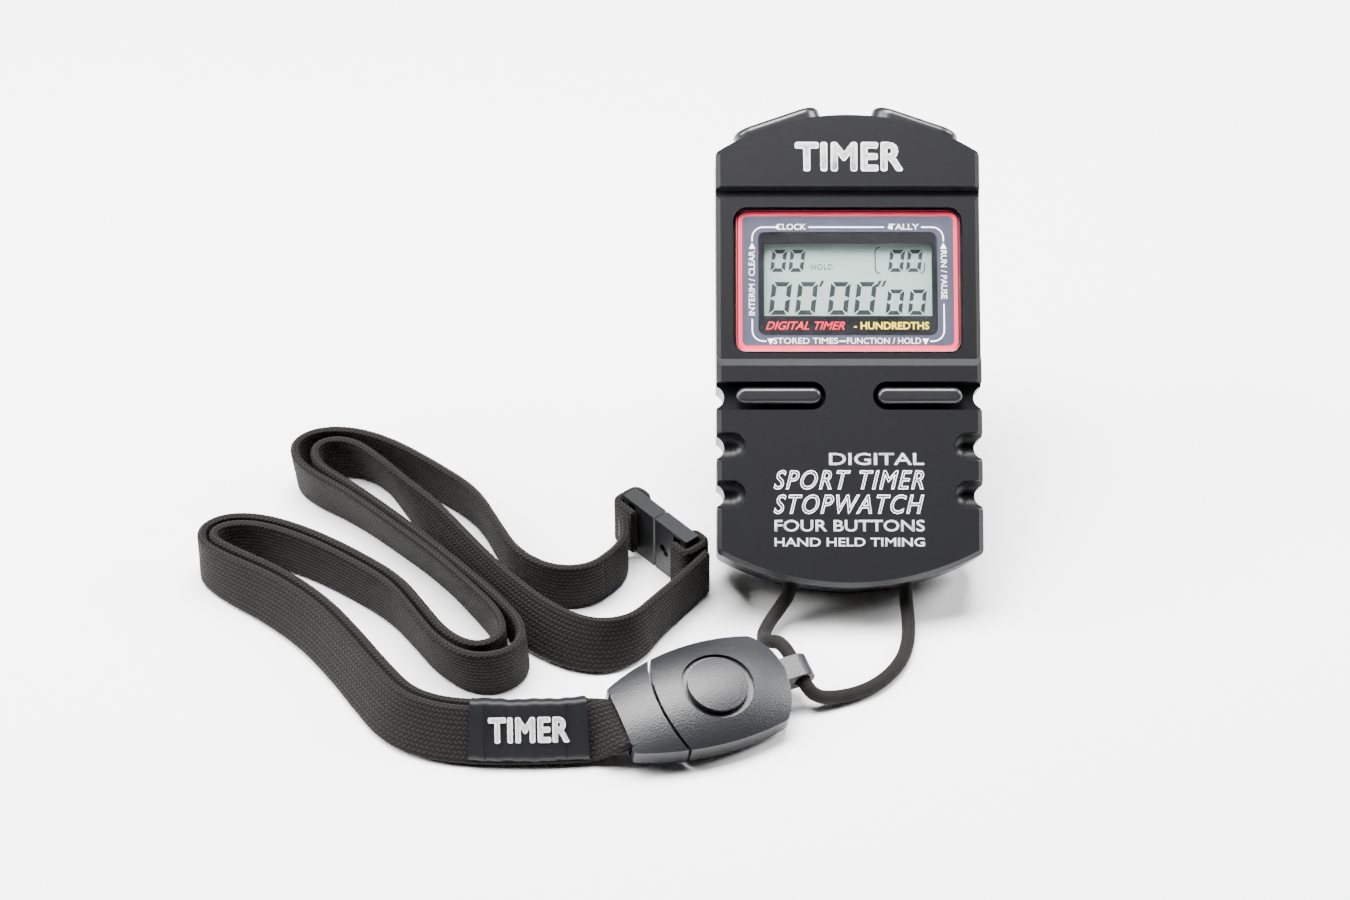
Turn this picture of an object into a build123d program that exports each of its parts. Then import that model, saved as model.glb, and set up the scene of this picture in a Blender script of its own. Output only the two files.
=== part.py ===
"""Digital hand stopwatch with a two-ply neck lanyard, in millimetres.

The case leans back on its lower back edge, with the lanyard laid out on the floor beside it.
The frame's origin is the middle of the case's flat back.
"""

import os
from math import cos, radians, sin, tan

from build123d import *

os.makedirs("parts", exist_ok=True)

# Driving dimensions of the case. Case heights count from the flat back, towards the face.
LEAN = 47  # degrees between the face's normal and straight ahead
HALF_WIDTH_TOP, HALF_WIDTH_BOTTOM = 31.2, 31.0
SHOULDER_TOP, SHOULDER_BOTTOM = 47.3, -47.9
TOP_APEX, BOTTOM_APEX = 56.5, -55.9
TOP_ARC_CENTRE = 7.2  # the top arch and the top buttons share this centre
COVER_TOP = 4.0  # where the rear cover meets the front case
DISPLAY_FACE, TOP_FACE, LOWER_FACE = 17.6, 18.7, 19.0
CEILING = 13.6
EDGE_BEVEL = 1.1
BACK_BEVEL = 1.5

# Window and display.
WINDOW_Y = 16.75
RECESS_FLOOR, RECESS_SIZE = 15.2, (54.2, 34.9)
LENS_SIZE, OPENING_SIZE = (53.0, 33.7), (49.5, 30.2)
LCD_Y, LCD_WINDOW = 17.0, (39.6, 17.3)

# Buttons.
TOP_ANGLE = 19
TOP_HEIGHT, STEM_HEIGHT = 10.5, 11.2
TOP_PAD = (21.5, 9.4)
PAD_LOW, PAD_HIGH = 46.4, 52.3  # radii from the arch's centre
POCKET_FLOOR, COUNTERBORE_FLOOR, CAVITY_ARC = 44.8, 42.8, 41.4
FACE_X, FACE_Y = 16.5, -11.0
FACE_PAD, FACE_SLOT, FACE_SLOT_FLOOR = (19.8, 3.85), 6.7, 15.6

# Finger notches down both flanks, through the whole case.
NOTCH_X, NOTCH_RADIUS, NOTCH_Y = 32.0, 2.7, (FACE_Y, -23.0, -34.3)

# Screws and boards.
CASE_SCREWS = [(-24.6, 35.5), (24.6, 35.5), (-24.8, -43.0), (24.8, -43.0)]
BOARD_SCREWS = [(-13.5, 34.5), (13.5, 34.5), (-21.0, -18.5), (21.0, -18.5)]
BOARD_LOW, BOARD_HIGH = 8.6, 9.6

# Lanyard. Floor heights count from the surface that everything lies on.
FLOOR_DROP = 37.1
CORD_X, CORD_HEIGHT, CORD_DIAMETER = 13.2, 9.54, 3.2
STRAP_WIDTH, STRAP_THICKNESS, STRAP_LIFT = 13.0, 2.0, 0.1

NORMAL = Vector(0, -cos(radians(LEAN)), sin(radians(LEAN)))
CASE = Plane(origin=(0, 0, 0), x_dir=(1, 0, 0), z_dir=NORMAL)
FLOOR = Plane(origin=(0, 0, -FLOOR_DROP), x_dir=(1, 0, 0), z_dir=(0, 0, 1))


def on_case(x, y, z, x_dir=(1, 0, 0), z_dir=(0, 0, 1)):
    """A plane given in the case's own frame."""
    return Plane(CASE.location * Plane((x, y, z), x_dir=x_dir, z_dir=z_dir).location)


def radial(side, radius, height):
    """The plane across a top button's travel: x runs along the pad, y towards the back."""
    a = radians(TOP_ANGLE * side)
    origin = (radius * sin(a), TOP_ARC_CENTRE + radius * cos(a), height)
    return on_case(*origin, x_dir=(cos(a), -sin(a), 0), z_dir=(sin(a), cos(a), 0))


def finish(piece, name, least=0.0):
    """Writes a piece, and stops if a cut or a join has spoiled it or left less than least mm3."""
    if not all(solid.is_valid for solid in piece.part.solids()) or piece.part.volume <= least:
        raise ValueError(f"{name} isn't sound: {piece.part.volume:.1f} mm3")
    piece.part.label = name
    export_step(piece.part, f"parts/{name}.step")


def case_outline(inset=0):
    with BuildSketch() as sketch:
        with BuildLine():
            top = ThreePointArc(
                (HALF_WIDTH_TOP, SHOULDER_TOP), (0, TOP_APEX), (-HALF_WIDTH_TOP, SHOULDER_TOP)
            )
            Line(top @ 1, (-HALF_WIDTH_BOTTOM, SHOULDER_BOTTOM))
            foot = ThreePointArc(
                (-HALF_WIDTH_BOTTOM, SHOULDER_BOTTOM),
                (0, BOTTOM_APEX),
                (HALF_WIDTH_BOTTOM, SHOULDER_BOTTOM),
            )
            Line(foot @ 1, top @ 0)
        make_face()
        fillet(sketch.vertices(), 1.6)
        if inset:
            offset(amount=-inset)
    return sketch.sketch


def cavity_outline():
    side, low = 27.6, -46.0
    with BuildSketch() as sketch:
        with BuildLine():
            shoulder = TOP_ARC_CENTRE + (CAVITY_ARC**2 - side**2) ** 0.5
            Polyline((-side, shoulder), (-side, low), (side, low), (side, shoulder))
            ThreePointArc((side, shoulder), (0, TOP_ARC_CENTRE + CAVITY_ARC), (-side, shoulder))
        make_face()
    return sketch.sketch


def board_outline():
    with BuildSketch() as sketch:
        with Locations((0, -4.5)):
            Rectangle(48, 71)
        with Locations((0, 37)):
            Rectangle(34, 12)
        with Locations(*CASE_SCREWS):
            Circle(3.4, mode=Mode.SUBTRACT)
    return sketch.sketch


def frame_outline(outer, inner, radius):
    with BuildSketch() as sketch:
        RectangleRounded(*outer, radius)
        RectangleRounded(*inner, radius, mode=Mode.SUBTRACT)
    return sketch.sketch


def block(low, high, sketch, at=(0, 0), mode=Mode.ADD):
    """Extrudes a sketch, given in case coordinates, between two case heights."""
    with BuildSketch(CASE.offset(low)) as profile:
        with Locations(at):
            add(sketch)
    extrude(profile.sketch, amount=high - low, mode=mode)


def rod(low, high, diameter, at, mode=Mode.ADD):
    with BuildSketch(CASE.offset(low)) as profile:
        with Locations(*at):
            Circle(diameter / 2)
    extrude(profile.sketch, amount=high - low, mode=mode)


outline = case_outline()
cover_pocket = case_outline(3.4)
gasket_ring = case_outline(2.2) - case_outline(2.9)
cavity = cavity_outline()
board = board_outline()
NOTCHES = [(side * NOTCH_X, y) for side in (-1, 1) for y in NOTCH_Y]
lens_frame = frame_outline(LENS_SIZE, (49.6, 30.3), 2.3)


# Front case -------------------------------------------------------------------------------------

with BuildPart() as front_case:
    block(COVER_TOP, LOWER_FACE, outline)
    # The face steps along its length: raised lower body, display field, cove and top panel.
    with BuildSketch(on_case(-40, 0, 0, x_dir=(0, 1, 0), z_dir=(1, 0, 0))):
        with BuildLine():
            Polyline(
                (-60, 0),
                (-60, LOWER_FACE),
                (-3.9, LOWER_FACE),
                (-2.1, DISPLAY_FACE),
                (36.3, DISPLAY_FACE),
                (37.1, DISPLAY_FACE - 0.8),
                (38.2, DISPLAY_FACE - 0.8),
                (39.0, TOP_FACE),
                (60, TOP_FACE),
                (60, 0),
                close=True,
            )
        make_face()
    extrude(amount=80, mode=Mode.INTERSECT)
    face_edges = [
        e
        for e in front_case.edges()
        if CASE.to_local_coords(e.center()).Z > DISPLAY_FACE - 0.1
        and abs((e % 0.5).dot(NORMAL)) < 0.01
        and (abs((e % 0.5).X) < 0.9 or abs(CASE.to_local_coords(e.center()).Y) > 45)
    ]
    chamfer(face_edges, EDGE_BEVEL)
    block(COVER_TOP, CEILING, cavity, mode=Mode.SUBTRACT)
    rod(COVER_TOP, CEILING, 6.2, CASE_SCREWS)
    rod(BOARD_HIGH, CEILING, 4.0, BOARD_SCREWS)
    rod(COVER_TOP, 11.6, 2.0, CASE_SCREWS, Mode.SUBTRACT)
    rod(BOARD_HIGH, 12.8, 1.6, BOARD_SCREWS, Mode.SUBTRACT)
    # The window: a recess for the lens and an opening over the display.
    with BuildSketch(CASE.offset(RECESS_FLOOR)):
        with Locations((0, WINDOW_Y)):
            RectangleRounded(*RECESS_SIZE, 3.5)
    extrude(amount=5, mode=Mode.SUBTRACT)
    with BuildSketch(CASE.offset(CEILING - 1)):
        with Locations((0, WINDOW_Y)):
            RectangleRounded(*OPENING_SIZE, 0.6)
    extrude(amount=3, mode=Mode.SUBTRACT)
    for side in (-1, 1):
        # A slot under each face button, open to the side, with a stepped bore for its stem.
        with BuildSketch(CASE.offset(FACE_SLOT_FLOOR)):
            with Locations((side * (FACE_X + 8), FACE_Y)):
                SlotOverall(38, FACE_SLOT)
        extrude(amount=5, mode=Mode.SUBTRACT)
        rod(14.8, 16, 3.8, [(side * FACE_X, FACE_Y)], Mode.SUBTRACT)
        rod(CEILING - 1, 16, 1.9, [(side * FACE_X, FACE_Y)], Mode.SUBTRACT)
        # The two lower notches run onto the face as scoops.
        for y in NOTCH_Y[1:]:
            with Locations(on_case(side * 27.6, y, 18.6)):
                Sphere(3.4, mode=Mode.SUBTRACT)
            with BuildSketch(on_case(side * 27.6, y, 18.6, x_dir=(0, 1, 0), z_dir=(side, 0, 0))):
                Circle(3.4)
            extrude(amount=6, mode=Mode.SUBTRACT)
        # The top button's pocket, spring well and stem bore.
        with BuildSketch(radial(side, POCKET_FLOOR, TOP_HEIGHT)):
            SlotOverall(TOP_PAD[0] + 0.8, TOP_PAD[1] + 0.8)
        extrude(amount=12, mode=Mode.SUBTRACT)
        with BuildSketch(radial(side, COUNTERBORE_FLOOR, STEM_HEIGHT)):
            Circle(2.6)
        extrude(amount=4, mode=Mode.SUBTRACT)
        with BuildSketch(radial(side, CAVITY_ARC - 2, STEM_HEIGHT)):
            Circle(1.25)
        extrude(amount=6, mode=Mode.SUBTRACT)
    rod(COVER_TOP, 20, 2 * NOTCH_RADIUS, NOTCHES, Mode.SUBTRACT)
    # The pocket that holds the cord's crimped ends, and the two holes out of the foot.
    with BuildSketch(CASE.offset(COVER_TOP)):
        with Locations((0, -49.9)):
            Rectangle(36, 4.8)
    extrude(amount=9, mode=Mode.SUBTRACT)
    for side in (-1, 1):
        with BuildSketch(on_case(side * CORD_X, -50, CORD_HEIGHT, z_dir=(0, -1, 0))):
            Circle(1.85)
        extrude(amount=8, mode=Mode.SUBTRACT)
finish(front_case, "front_case")

# Rear cover, its gasket and screws ---------------------------------------------------------------

with BuildPart() as rear_cover:
    block(0, COVER_TOP, outline)
    back_edges = [
        e
        for e in rear_cover.edges()
        if abs(CASE.to_local_coords(e.center()).Z) < 0.01
    ]
    chamfer(back_edges, BACK_BEVEL)
    block(1.8, COVER_TOP, cover_pocket, mode=Mode.SUBTRACT)
    rod(1.8, COVER_TOP, 6.8, CASE_SCREWS)
    rod(0, COVER_TOP, 2.3, CASE_SCREWS, Mode.SUBTRACT)
    rod(0, 1.7, 4.5, CASE_SCREWS, Mode.SUBTRACT)
    block(3.4, COVER_TOP, gasket_ring, mode=Mode.SUBTRACT)
    rod(0, COVER_TOP, 2 * NOTCH_RADIUS, NOTCHES, Mode.SUBTRACT)
    # A coin slot ring moulded into the outside, over the battery.
    with BuildSketch(CASE):
        with Locations((0, -28)):
            Circle(11.6)
            Circle(10.8, mode=Mode.SUBTRACT)
    extrude(amount=0.5, mode=Mode.SUBTRACT)
finish(rear_cover, "rear_cover")

with BuildPart() as case_gasket:
    block(3.4, COVER_TOP, gasket_ring)
finish(case_gasket, "case_gasket")

with BuildPart() as case_screws:
    rod(0.1, 1.7, 4.2, CASE_SCREWS)
    rod(1.7, 11.0, 2.0, CASE_SCREWS)
    with BuildSketch(CASE.offset(0.1)):
        with Locations(*CASE_SCREWS):
            Rectangle(2.6, 0.6)
            Rectangle(0.6, 2.6)
    extrude(amount=0.8, mode=Mode.SUBTRACT)
finish(case_screws, "case_screws")

# Window: gasket, printed film and lens ------------------------------------------------------------

with BuildPart() as lens_gasket:
    block(RECESS_FLOOR, 15.6, lens_frame, (0, WINDOW_Y))
finish(lens_gasket, "lens_gasket")

with BuildPart() as display_mask:
    with BuildSketch(CASE.offset(15.6)):
        with Locations((0, WINDOW_Y)):
            RectangleRounded(*LENS_SIZE, 2.3)
        with Locations((0, LCD_Y)):
            Rectangle(*LCD_WINDOW, mode=Mode.SUBTRACT)
    extrude(amount=0.2)
finish(display_mask, "display_mask")

with BuildPart() as lens:
    with BuildSketch(CASE.offset(15.8)):
        with Locations((0, WINDOW_Y)):
            RectangleRounded(*LENS_SIZE, 2.3)
    extrude(amount=1.5)
    chamfer(lens.faces().sort_by(Axis((0, 0, 0), NORMAL))[-1].edges(), 0.3)
finish(lens, "lens")

# Display module -----------------------------------------------------------------------------------

with BuildPart() as lcd_holder:
    with BuildSketch(CASE.offset(BOARD_HIGH)):
        with Locations((0, LCD_Y)):
            Rectangle(48.4, 28.6)
    extrude(amount=5.4)
    for low, high, size in (
        (14.0, 15.0, (40.2, 18.9)),
        (11.9, 14.0, (44.4, 24.4)),
        (BOARD_HIGH, 11.9, (42.4, 22.4)),
    ):
        with BuildSketch(CASE.offset(low)):
            with Locations((0, LCD_Y)):
                Rectangle(*size)
        extrude(amount=high - low, mode=Mode.SUBTRACT)
finish(lcd_holder, "lcd_holder")

with BuildPart() as lcd_panel:
    with BuildSketch(CASE.offset(12.0)):
        with Locations((0, LCD_Y)):
            Rectangle(44, 24)
    extrude(amount=1.9)
finish(lcd_panel, "lcd_panel")

with BuildPart() as zebra_strips:
    with BuildSketch(CASE.offset(BOARD_HIGH)):
        with Locations((0, LCD_Y - 10), (0, LCD_Y + 10)):
            Rectangle(40, 2)
    extrude(amount=12.0 - BOARD_HIGH)
finish(zebra_strips, "zebra_strips")

# Electronics --------------------------------------------------------------------------------------

with BuildPart() as circuit_board:
    block(BOARD_LOW, BOARD_HIGH, board)
    rod(BOARD_LOW, BOARD_HIGH, 1.7, BOARD_SCREWS, Mode.SUBTRACT)
finish(circuit_board, "circuit_board")

with BuildPart() as board_screws:
    rod(7.7, BOARD_LOW, 3.2, BOARD_SCREWS)
    rod(BOARD_LOW, 12.4, 1.6, BOARD_SCREWS)
    with BuildSketch(CASE.offset(7.7)):
        with Locations(*BOARD_SCREWS):
            Rectangle(2.0, 0.4)
            Rectangle(0.4, 2.0)
    extrude(amount=0.5, mode=Mode.SUBTRACT)
finish(board_screws, "board_screws")

with BuildPart() as chip_cover:
    rod(BOARD_HIGH, 11.2, 12, [(0, -12)])
    fillet(chip_cover.faces().sort_by(Axis((0, 0, 0), NORMAL))[-1].edges(), 1.2)
finish(chip_cover, "chip_cover")

with BuildPart() as quartz_crystal:
    with BuildSketch(on_case(8, -25, BOARD_HIGH + 1.55, x_dir=(0, 1, 0), z_dir=(1, 0, 0))):
        Circle(1.5)
    extrude(amount=8)
    fillet(quartz_crystal.edges(), 0.4)
finish(quartz_crystal, "quartz_crystal")

with BuildPart() as capacitors:
    with BuildSketch(CASE.offset(BOARD_HIGH)):
        with Locations((-10, -22), (-10, -25), (-10, -28)):
            Rectangle(2.0, 1.25)
    extrude(amount=0.9)
finish(capacitors, "capacitors")

with BuildPart() as top_switches:
    for side in (-1, 1):
        with BuildSketch(radial(side, 35.0, BOARD_HIGH + 1.7)):
            Rectangle(6, 3.4)
        extrude(amount=2.2)
        with BuildSketch(radial(side, 37.2, STEM_HEIGHT)):
            Circle(0.9)
        extrude(amount=0.3)
finish(top_switches, "top_switches")

with BuildPart() as face_switches:
    with BuildSketch(CASE.offset(BOARD_HIGH)):
        with Locations((-FACE_X, FACE_Y), (FACE_X, FACE_Y)):
            Rectangle(5.2, 5.2)
    extrude(amount=1.5)
    rod(BOARD_HIGH + 1.5, BOARD_HIGH + 1.8, 2.4, [(-FACE_X, FACE_Y), (FACE_X, FACE_Y)])
finish(face_switches, "face_switches")

with BuildPart() as battery_cell:
    rod(4.9, 8.1, 20, [(0, -28)])
    fillet(battery_cell.edges(), 0.4)
finish(battery_cell, "battery_cell")

with BuildPart() as battery_contacts:
    with BuildSketch(CASE.offset(8.2)):
        with Locations((0, -28)):
            Rectangle(14, 4)
    extrude(amount=0.3)
    with BuildSketch(CASE.offset(4.5)):
        with Locations((0, -28)):
            Rectangle(22.6, 3)
    extrude(amount=0.3)
    with BuildSketch(CASE.offset(4.5)):
        with Locations((11.1, -28)):
            Rectangle(0.4, 3)
    extrude(amount=4.1)
finish(battery_contacts, "battery_contacts")

with BuildPart() as buzzer_disc:
    rod(1.8, 2.1, 24, [(0, 18)])
    rod(2.1, 2.4, 16, [(0, 18)])
finish(buzzer_disc, "buzzer_disc")

# Top buttons --------------------------------------------------------------------------------------


def ring(plane, length, outer, inner):
    """A plain round ring standing on a plane."""
    with BuildSketch(plane) as profile:
        Circle(outer / 2)
        Circle(inner / 2, mode=Mode.SUBTRACT)
    extrude(profile.sketch, amount=length)


for side, button in ((-1, "lap_reset"), (1, "start_stop")):
    with BuildPart() as top_button:
        with BuildSketch(radial(side, PAD_LOW, TOP_HEIGHT)):
            SlotOverall(*TOP_PAD)
        extrude(amount=PAD_HIGH - PAD_LOW)
        outer_face = top_button.faces().sort_by(Axis((0, 0, 0), radial(side, 0, 0).z_dir))[-1]
        fillet(outer_face.edges(), 1.5)
        with BuildSketch(radial(side, 38.9, STEM_HEIGHT)):
            Circle(1.2)
        extrude(amount=PAD_LOW - 38.9)
        with BuildSketch(radial(side, 40.7, STEM_HEIGHT)):
            Circle(1.2)
            Circle(0.9, mode=Mode.SUBTRACT)
        extrude(amount=0.5, mode=Mode.SUBTRACT)
    finish(top_button, f"{button}_button")

    with BuildPart() as button_clip:
        ring(radial(side, 40.7, STEM_HEIGHT), 0.5, 4.2, 1.8)
    finish(button_clip, f"{button}_clip")

    with BuildPart() as button_seal:
        ring(radial(side, COUNTERBORE_FLOOR, STEM_HEIGHT), 0.9, 4.6, 2.5)
    finish(button_seal, f"{button}_seal")

    with BuildPart() as button_spring:
        ring(radial(side, COUNTERBORE_FLOOR + 0.9, STEM_HEIGHT), PAD_LOW - 43.7, 4.4, 3.4)
    finish(button_spring, f"{button}_spring")

# Face buttons -------------------------------------------------------------------------------------

for side, button in ((-1, "recall"), (1, "mode")):
    with BuildPart() as face_button:
        with BuildSketch(CASE.offset(17.2)):
            with Locations((side * FACE_X, FACE_Y)):
                SlotOverall(*FACE_PAD)
        extrude(amount=2.3)
        fillet(face_button.faces().sort_by(Axis((0, 0, 0), NORMAL))[-1].edges(), 1.1)
        rod(12.35, 17.2, 1.8, [(side * FACE_X, FACE_Y)])
        with BuildSketch(on_case(side * FACE_X, FACE_Y, 13.0)):
            Circle(0.9)
            Circle(0.6, mode=Mode.SUBTRACT)
        extrude(amount=0.5, mode=Mode.SUBTRACT)
    finish(face_button, f"{button}_button")

    with BuildPart() as face_clip:
        ring(on_case(side * FACE_X, FACE_Y, 13.0), 0.5, 3.4, 1.2)
    finish(face_clip, f"{button}_clip")

    with BuildPart() as face_spring:
        ring(on_case(side * FACE_X, FACE_Y, 14.8), 17.2 - 14.8, 3.2, 2.3)
    finish(face_spring, f"{button}_spring")

# Elastic cord and its crimped ends ----------------------------------------------------------------


def cord_radii(points):
    """Arc radii for a limp cord: each arc takes 0.45 of the shorter run beside it."""
    radii = []
    for before, corner, after in zip(points, points[1:], points[2:]):
        run_in, run_out = Vector(corner) - Vector(before), Vector(after) - Vector(corner)
        turn = radians(run_in.get_angle(run_out))
        radii.append(0.45 * min(run_in.length, run_out.length) / tan(turn / 2))
    return radii


# Out of the foot's left hole, through the buckle's eye and back into the right hole.
ELASTIC_ROUTE = [
    (-13.2, -42.0, 11.0),
    (-13.2, -47.2, 6.2),
    (-16.6, -52.2, 4.2),
    (-19.4, -57.0, 3.6),
    (-20.6, -62.0, 4.4),
    (-19.6, -66.8, 8.0),
    (-16.0, -68.9, 9.8),
    (-11.6, -79.2, 6.8),
    (-8.8, -80.4, 3.6),
    (-3.8, -78.8, 1.9),
    (1.4, -77.0, 1.7),
    (6.5, -73.6, 1.7),
    (10.8, -68.2, 1.7),
    (13.2, -61.9, 1.8),
    (13.9, -55.4, 2.6),
    (13.2, -47.2, 6.2),
    (13.2, -42.0, 11.0),
]

with BuildPart() as elastic_cord:
    route = [FLOOR.from_local_coords(Vector(*p)) for p in ELASTIC_ROUTE]
    with BuildLine() as elastic_line:
        FilletPolyline(*route, radius=cord_radii(route))
    with BuildSketch(Plane(route[0], z_dir=route[1] - route[0])):
        Circle(CORD_DIAMETER / 2)
    sweep()
finish(elastic_cord, "elastic_cord")
print("elastic length", round(elastic_line.wire().length, 1))

with BuildPart() as cord_crimps:
    for side in (-1, 1):
        ring(
            on_case(side * CORD_X, -48.0, CORD_HEIGHT, z_dir=(0, -1, 0)),
            4.0,
            CORD_DIAMETER + 1.8,
            CORD_DIAMETER + 0.1,
        )
finish(cord_crimps, "cord_crimps")

# Buckle -------------------------------------------------------------------------------------------
# Its own frame: x towards the eye, z out of its domed top. It lies tilted on the floor.

BUCKLE_YAW, BUCKLE_TILT = 23, 15
BUTTON_X, EYE_Z = 3.2, -0.7
BUCKLE_BEVEL = 0.6
yaw, tilt = radians(BUCKLE_YAW), radians(BUCKLE_TILT)
BUCKLE = Plane(
    origin=(-34.6, -85.4, 8.4 - FLOOR_DROP),
    x_dir=(cos(yaw), sin(yaw), 0),
    z_dir=(sin(yaw) * sin(tilt), -cos(yaw) * sin(tilt), cos(tilt)),
)


def on_buckle(x, y, z, x_dir=(1, 0, 0), z_dir=(0, 0, 1)):
    return Plane(BUCKLE.location * Plane((x, y, z), x_dir=x_dir, z_dir=z_dir).location)


def buckle_outline():
    with BuildSketch() as sketch:
        with BuildLine():
            far = ThreePointArc((-20, 8.6), (-2, 13.1), (16.2, 11.6))
            nose = ThreePointArc(far @ 1, (20, 0), (16.2, -11.6))
            ThreePointArc(nose @ 1, (-2, -13.1), (-20, -8.6))
            Line((-20, -8.6), (-20, 8.6))
        make_face()
        fillet(sketch.vertices().group_by(Axis.X)[-1], 2.5)
        fillet(sketch.vertices().group_by(Axis.X)[0], 0.8)
    return sketch.sketch


def buckle_side(strap_side, gap=0.33):
    """The ground either side of the curved seam between the buckle's halves."""
    step = -gap if strap_side else gap
    far_x = -30 if strap_side else 30
    with BuildSketch() as sketch:
        with BuildLine():
            seam = ThreePointArc((-7.2 + step, 14), (-11 + step, 0), (-7.2 + step, -14))
            Polyline(seam @ 1, (far_x, -14), (far_x, 14), seam @ 0)
        make_face()
    return sketch.sketch


def crown(lift=0.0):
    """Cuts a buckle piece to the doubly curved top, one arc swung along another."""
    along, across, half_turn = 73.0, 27.3, radians(20)
    pivot_z = 4.8 + lift - along
    start = on_buckle(
        -along * sin(half_turn),
        0,
        pivot_z + along * cos(half_turn),
        x_dir=(0, 1, 0),
        z_dir=(cos(half_turn), 0, sin(half_turn)),
    )
    edge = 16.0
    drop = across - (across**2 - edge**2) ** 0.5
    with BuildSketch(start) as profile:
        with BuildLine():
            ThreePointArc((-edge, -drop), (0, 0), (edge, -drop))
            Polyline((edge, -drop), (edge, -16), (-edge, -16), (-edge, -drop))
        make_face()
    swing = Axis(on_buckle(0, 0, pivot_z).origin, BUCKLE.y_dir)
    revolve(profile.sketch, axis=swing, revolution_arc=40, mode=Mode.INTERSECT)


def buckle_block(low, high, sketch, mode=Mode.ADD):
    with BuildSketch(BUCKLE.offset(low)) as profile:
        add(sketch)
    extrude(profile.sketch, amount=high - low, mode=mode)


def buckle_bore(low, high, diameter, mode=Mode.SUBTRACT):
    with BuildSketch(BUCKLE.offset(low)) as profile:
        with Locations((BUTTON_X, 0)):
            Circle(diameter / 2)
    extrude(profile.sketch, amount=high - low, mode=mode)


release_side = buckle_outline() & buckle_side(False)
strap_side = buckle_outline() & buckle_side(True)

with BuildPart() as buckle_body:
    buckle_block(-2, 6, release_side)
    crown()
    # The eye, a rounded tongue that is joined on before the well is cut.
    with BuildSketch(on_buckle(0, 2.8, 0, x_dir=(1, 0, 0), z_dir=(0, -1, 0))):
        with Locations((21.4, EYE_Z)):
            SlotOverall(10.4, 5.4)
    extrude(amount=5.6)
    # The channel for the prongs, and the stepped well for the button.
    with BuildSketch(BUCKLE.offset(-2)):
        with Locations((-1, 0)):
            Rectangle(22, 13.2)
    extrude(amount=3, mode=Mode.SUBTRACT)
    buckle_bore(1.0, 2.8, 18.4)
    buckle_bore(1.0, 6, 16.6)
    # The hole across the eye, for the elastic cord.
    with BuildSketch(on_buckle(0, 3.0, 0, x_dir=(1, 0, 0), z_dir=(0, -1, 0))):
        with Locations((23.6, EYE_Z)):
            Circle(1.95)
    extrude(amount=6.0, mode=Mode.SUBTRACT)
finish(buckle_body, "buckle_body", least=2200)

with BuildPart() as buckle_base:
    buckle_block(-4, -2, release_side)
    bottom_edges = buckle_base.faces().sort_by(Axis((0, 0, 0), BUCKLE.z_dir))[0].edges()
    chamfer(bottom_edges, BUCKLE_BEVEL)
    with BuildSketch(on_buckle(0, 2.9, 0, x_dir=(1, 0, 0), z_dir=(0, -1, 0))):
        with Locations((21.4, EYE_Z)):
            SlotOverall(10.6, 5.6)
    extrude(amount=5.8, mode=Mode.SUBTRACT)
    buckle_bore(-3.2, -2, 6)
finish(buckle_base, "buckle_base", least=1200)

with BuildPart() as release_button:
    buckle_bore(1.9, 2.7, 17.8, Mode.ADD)
    buckle_bore(2.7, 6, 13.8, Mode.ADD)
    crown(0.35)
    buckle_bore(-0.8, 1.9, 5, Mode.ADD)
finish(release_button, "release_button")

with BuildPart() as release_spring:
    ring(on_buckle(BUTTON_X, 0, -3.2), 2.4, 4.8, 3.6)
finish(release_spring, "release_spring")

with BuildPart() as buckle_strap_half:
    buckle_block(-4, 6, strap_side)
    crown()
    low_face = buckle_strap_half.faces().sort_by(Axis((0, 0, 0), BUCKLE.z_dir))[0]
    chamfer(low_face.edges(), BUCKLE_BEVEL)
    # The mouth for the strap's sewn end, and two barbed prongs that reach into the other half.
    with BuildSketch(BUCKLE.offset(-2.9)):
        with Locations((-17.4, 0)):
            Rectangle(6.8, 14.2)
    extrude(amount=4.1, mode=Mode.SUBTRACT)
    for side in (-1, 1):
        with BuildSketch(BUCKLE.offset(-1.6)):
            with Locations((-1.5, side * 4.7)):
                Rectangle(21, 3)
        extrude(amount=2.2)
        with BuildSketch(BUCKLE.offset(-1.6)):
            with Locations((8.2, side * 3.5)):
                Rectangle(1.6, 1.2)
        extrude(amount=2.2)
finish(buckle_strap_half, "buckle_strap_half", least=1000)

# Breakaway clip -----------------------------------------------------------------------------------
# Its own frame: x along the clip towards the case, standing on edge.

CLIP_HALF, CLIP_THICK, CLIP_TALL = 11.4, 4.0, 15.2
clip_x = Vector(0.66, -0.751, 0).normalized()
CLIP = Plane(origin=(-44.2, -31.2, 0.1 - FLOOR_DROP), x_dir=clip_x, z_dir=(0, 0, 1))


def clip_block(low, high, x_low, x_high, half_thick, mode=Mode.ADD):
    with BuildSketch(CLIP.offset(low)) as profile:
        with Locations(((x_low + x_high) / 2, 0)):
            Rectangle(x_high - x_low, 2 * half_thick)
    extrude(profile.sketch, amount=high - low, mode=mode)


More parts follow.
